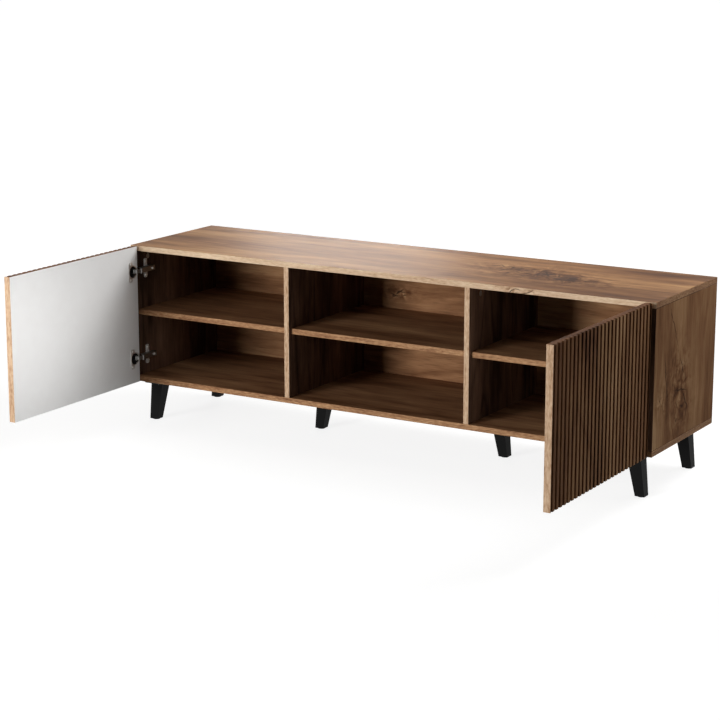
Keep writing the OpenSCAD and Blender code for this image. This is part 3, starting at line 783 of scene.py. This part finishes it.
for hand in ("left", "right"):
    for level in ("upper", "lower"):
        for part in hinge["finish"]:
            node = f"{hand}_{level}_{part}"
            made = copyOf(node, node + "_pressed")
            made.data.materials.append(finishes[hinge["finish"][part]])
            if part in hinge["wing"]:
                roundWings(made, hinge["wing"][part])
            breakEdges(made, hinge["arris"], segments=2)
            if part == "hinge_cup":
                # the faces sunk in the cup take the darker steel: painted shade in its hollow
                made.data.materials.append(finishes["cupShadeSteel"])
                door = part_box(f"{hand}_door")
                inner = min(abs(door[0][0]), abs(door[1][0])) + hinge["sunk"]
                for face in made.data.polygons:
                    face.material_index = 1 if abs(face.center[0]) > inner else 0
            finishPiece(made, node)
print("hinges dressed")

# screws: one of each kind is made, then copied to the places of the CAD screws
screws = {
    # node: radius and height of the head, radius of the shank and length of the whole screw, how far
    # the head's rim is rounded, and where the head faces
    "mounting_plate_screws": {
        "head": (0.005, 0.0015), "shank": (0.0025, 0.0155), "crown": 0.0009, "faces": "middle",
    },
    "hinge_arm_screws": {
        "head": (0.004, 0.0015), "shank": (0.002, 0.0112), "crown": 0.0009, "faces": "middle",
    },
    "left_cup_screws": {
        "head": (0.0035, 0.001), "shank": (0.00175, 0.0135), "crown": 0.0006, "faces": "middle",
    },
    "right_cup_screws": {
        "head": (0.0035, 0.001), "shank": (0.00175, 0.0135), "crown": 0.0006, "faces": "middle",
    },
    "leg_plate_screws": {
        "head": (0.004, 0.0022), "shank": (0.002, 0.016), "crown": 0.0004, "faces": "down",
    },
}
screwShape = {
    "facets": 32,
    "crownSteps": 4,
    "tip": (0.0015, 0.3),        # length of the point, and its end as a share of the shank
    "cross": (1.15, 0.24, 1.3),  # length and width in head radii, and depth in head heights
    "turn": 37,                  # degrees that each cross stands askew of the one before
}


def selectOnly(made, edges=None, faces=None):
    # leaves one set of a mesh's edges or faces selected, and the piece in edit mode
    bpy.ops.object.mode_set(mode="EDIT")
    bpy.context.tool_settings.mesh_select_mode = (False, edges is not None, faces is not None)
    bpy.ops.mesh.select_all(action="DESELECT")
    bpy.ops.object.mode_set(mode="OBJECT")
    for part, choose in ((made.data.edges, edges), (made.data.polygons, faces)):
        for each in part:
            if choose is not None:
                each.select = choose(each)
    bpy.ops.object.mode_set(mode="EDIT")


def crossScrew(head, shank, crown):
    # its axis is Z and the top of its head is at the origin; the shank is drawn out of the head's
    # underside and narrows at its tip
    radius, height = head
    tip, narrow = screwShape["tip"]
    bpy.ops.mesh.primitive_cylinder_add(
        vertices=screwShape["facets"], radius=radius, depth=height, location=(0, 0, -height / 2),
    )
    made = bpy.context.object
    selectOnly(made, faces=lambda face: face.normal[2] < -square)
    bpy.ops.mesh.inset(thickness=radius - shank[0])
    bpy.ops.mesh.extrude_region_move(TRANSFORM_OT_translate={"value": (0, 0, -(shank[1] - height - tip))})
    bpy.ops.mesh.extrude_region_move(TRANSFORM_OT_translate={"value": (0, 0, -tip)})
    bpy.ops.transform.resize(value=(narrow, narrow, 1.0))
    bpy.ops.object.mode_set(mode="OBJECT")
    verts = made.data.vertices
    rim = height / 2 - touching
    selectOnly(made, edges=lambda edge: all(verts[i].co[2] > rim for i in edge.vertices))
    bpy.ops.mesh.bevel(offset=crown, segments=screwShape["crownSteps"], affect="EDGES")
    bpy.ops.object.mode_set(mode="OBJECT")
    length, width, depth = screwShape["cross"]
    for turn in (0, 90):
        bpy.ops.mesh.primitive_cube_add(
            size=1, rotation=(0, 0, math.radians(turn)),
            scale=(radius * length, radius * width, height * depth),
        )
        slotBox = bpy.context.object
        bpy.context.view_layer.objects.active = made
        cut = made.modifiers.new("cross", "BOOLEAN")
        cut.object = slotBox
        bpy.ops.object.modifier_apply(modifier=cut.name)
        bpy.data.objects.remove(slotBox)
    return made


def screwPlaces(node, faces):
    # the top of each CAD screw's head, and the way it looks
    copyOf(node, node + "_places")
    bpy.ops.mesh.separate(type="LOOSE")
    places = []
    for part in list(bpy.context.selected_objects):
        low, high = boxOf(part)
        middle = (low + high) / 2
        facing = Vector((-math.copysign(1, middle[0]), 0, 0))
        if faces == "down":
            facing = Vector((0, 0, -1))
        reach = abs((high - low).dot(facing)) / 2
        places.append((middle + facing * reach, facing))
        bpy.data.objects.remove(part)
    return places


def setScrews(screw, places):
    # a copy of the screw at each place, all joined to one piece
    copies = []
    for count, (top, facing) in enumerate(places):
        made = screw.copy()
        made.data = screw.data.copy()
        bpy.context.collection.objects.link(made)
        made.location = top
        turn = Quaternion((0, 0, 1), math.radians(screwShape["turn"] * count))
        made.rotation_euler = (facing.to_track_quat("Z", "Y") @ turn).to_euler()
        copies.append(made)
    bpy.data.objects.remove(screw)
    bpy.ops.object.select_all(action="DESELECT")
    for made in copies:
        made.select_set(True)
    bpy.context.view_layer.objects.active = copies[0]
    bpy.ops.object.join()
    bpy.ops.object.transform_apply(location=True, rotation=True, scale=True)
    return bpy.context.object


for node, kind in screws.items():
    places = screwPlaces(node, kind["faces"])
    made = setScrews(crossScrew(kind["head"], kind["shank"], kind["crown"]), places)
    made.name = node + "_cross"
    made.data.name = made.name
    made.data.materials.append(finishes["nickel"])
    bpy.ops.object.shade_smooth_by_angle(angle=math.radians(35))
    finishPiece(made, node)
print("screws made:", len(screws), "kinds")

# the other fittings keep their CAD shape and take a finish; the links and pins take the darker steel,
# painted shade
fittings = {
    "nickel": ["back_nails", "shelf_supports", "cam_bolts", "leg_bolts", "base_screws"],
    "shadedSteel": ["left_hinge_links", "right_hinge_links", "left_cup_pins", "right_cup_pins", "arm_pins"],
    "zinc": ["cam_housings"],
    "beech": ["dowels"],
    "blackNylon": ["leg_plates", "leg_glides"],
}
for finish, members in fittings.items():
    for node in members:
        nodes[node].data.materials.clear()
        nodes[node].data.materials.append(finishes[finish])
print("fittings finished")


# floor and light: a pale floor that shows white, with the stand's own soft shadow
def seenDirectly(tree):
    # 1 for rays from the camera and for mirror and glass rays, so that metal shows the same background
    paths = addNode(tree, "ShaderNodeLightPath").node.outputs
    seen = paths["Is Camera Ray"]
    for kind in ("Is Glossy Ray", "Is Transmission Ray"):
        seen = addNode(tree, "ShaderNodeMath", {"operation": "MAXIMUM"}, {0: seen, 1: paths[kind]})
    return seen


studio = {
    "floorSize": 60.0,
    "floorColor": "#959594",
    "floorRoughness": 0.9,
    "floorWhite": (0.84, 1.0),  # how white the floor looks by itself, near the stand and far from it
    "floorReach": (1.3, 3.2),   # metres from the stand's middle between which it changes
    "ambient": 0.02,
    "softboxes": [
        # name, place, aimed at, width, depth, spread in degrees, power in watts
        ("overhead", (-0.35, 0.35, 1.35), (-0.35, 0.25, 0.5), 1.0, 0.5, 180, 5.0),
        ("overRear", (1.05, 1.2, 1.75), (-0.3, 0.0, 0.5), 1.4, 0.8, 180, 33.0),
        ("frontTop", (-0.3, -2.6, 2.2), (0.0, 0.1, 0.4), 1.6, 1.0, 180, 11.0),
        ("frontStrip", (-1.75, -4.85, 0.9), (0.0, 0.1, 0.3), 1.5, 1.8, 180, 240.0),
        ("doorFill", (-0.15, -0.75, 0.55), (-0.785, -0.42, 0.32), 0.4, 0.4, 60, 0.55),
        ("backLeft", (-1.68, 2.7, 1.1), (0.0, 0.3, 0.5), 0.8, 0.5, 180, 14.5),
        ("backRight", (2.6, 2.0, 1.5), (0.3, 0.2, 0.4), 1.4, 1.0, 180, 7.0),
    ],
}
bpy.ops.mesh.primitive_plane_add(size=studio["floorSize"], location=(0, 0, 0))
floor = bpy.context.object
floor.name = "studio_floor"
floorMaterial, tree, shader = newMaterial("studio_floor_white")
shader.inputs["Base Color"].default_value = linear(studio["floorColor"])
shader.inputs["Roughness"].default_value = studio["floorRoughness"]
shader.inputs["Specular IOR Level"].default_value = 0.0
place = addNode(tree, "ShaderNodeTexCoord", out="Object")
far = addNode(tree, "ShaderNodeVectorMath", {"operation": "LENGTH"}, {0: place}, out="Value")
white = addNode(
    tree, "ShaderNodeMapRange",
    {
        "From Min": studio["floorReach"][0], "From Max": studio["floorReach"][1],
        "To Min": studio["floorWhite"][0], "To Max": studio["floorWhite"][1],
    },
    {0: far},
)
white = addNode(tree, "ShaderNodeMath", {"operation": "MULTIPLY"}, {0: white, 1: seenDirectly(tree)})
glow = addNode(tree, "ShaderNodeEmission", links={"Strength": white})
both = addNode(tree, "ShaderNodeAddShader", links={0: shader.outputs[0], 1: glow})
tree.links.new(both, tree.nodes["Material Output"].inputs["Surface"])
floor.data.materials.append(floorMaterial)

world = bpy.data.worlds.new("studio_world")
bpy.context.scene.world = world
world.use_nodes = True
tree = world.node_tree
level = addNode(tree, "ShaderNodeMapRange", {"To Min": studio["ambient"]}, {0: seenDirectly(tree)})
tree.links.new(level, tree.nodes["Background"].inputs["Strength"])
tree.nodes["Background"].inputs["Color"].default_value = (1, 1, 1, 1)

for name, place, aim, width, depth, spread, power in studio["softboxes"]:
    bpy.ops.object.light_add(type="AREA", location=place)
    light = bpy.context.object
    light.name = name
    light.data.shape = "RECTANGLE"
    light.data.size = width
    light.data.size_y = depth
    light.data.spread = math.radians(spread)
    light.data.energy = power
    light.visible_camera = False
    light.rotation_euler = (Vector(aim) - Vector(place)).to_track_quat("-Z", "Y").to_euler()
print("studio ready")
